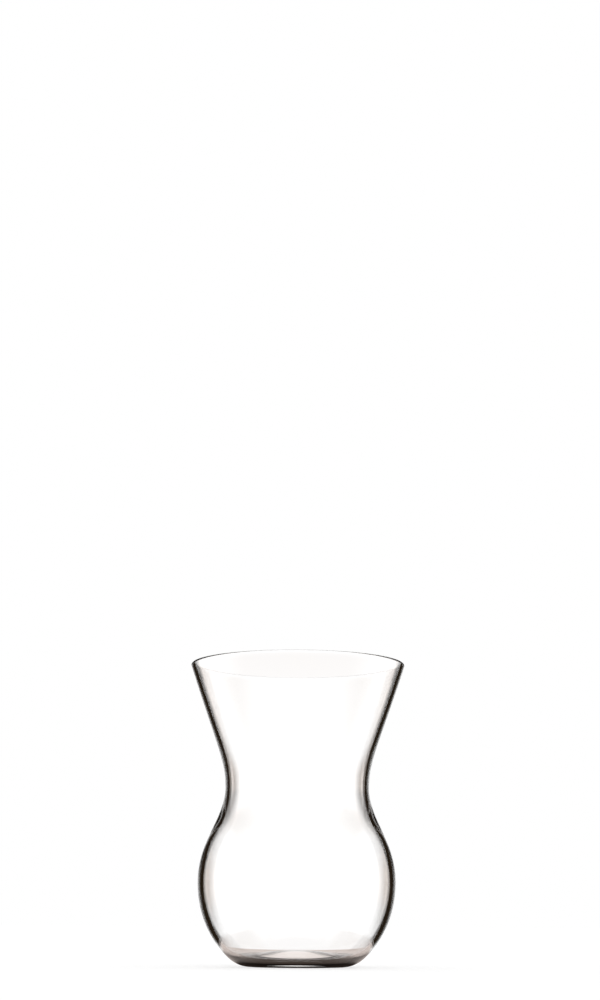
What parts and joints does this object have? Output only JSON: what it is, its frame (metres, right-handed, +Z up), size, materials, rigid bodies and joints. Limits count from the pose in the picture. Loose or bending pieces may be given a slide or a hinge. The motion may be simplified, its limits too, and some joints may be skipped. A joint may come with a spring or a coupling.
{
  "type": "chai glass",
  "caption": "Clear handleless tea tumbler with a flared mouth, narrow waist, round lower bowl and a small flat foot.",
  "frame": {"origin": "middle of the foot, on the surface that the glass stands on", "axes": "+Z up along the glass's axis of revolution, from the foot to the mouth; X and Y are alike, because the glass is round"},
  "size_m": [0.063, 0.063, 0.0886],
  "materials": {
    "glass": "polished clear soda-lime glass"
  },
  "bodies": {
    "root": {"glass": "glass"}
  },
  "joints": []
}
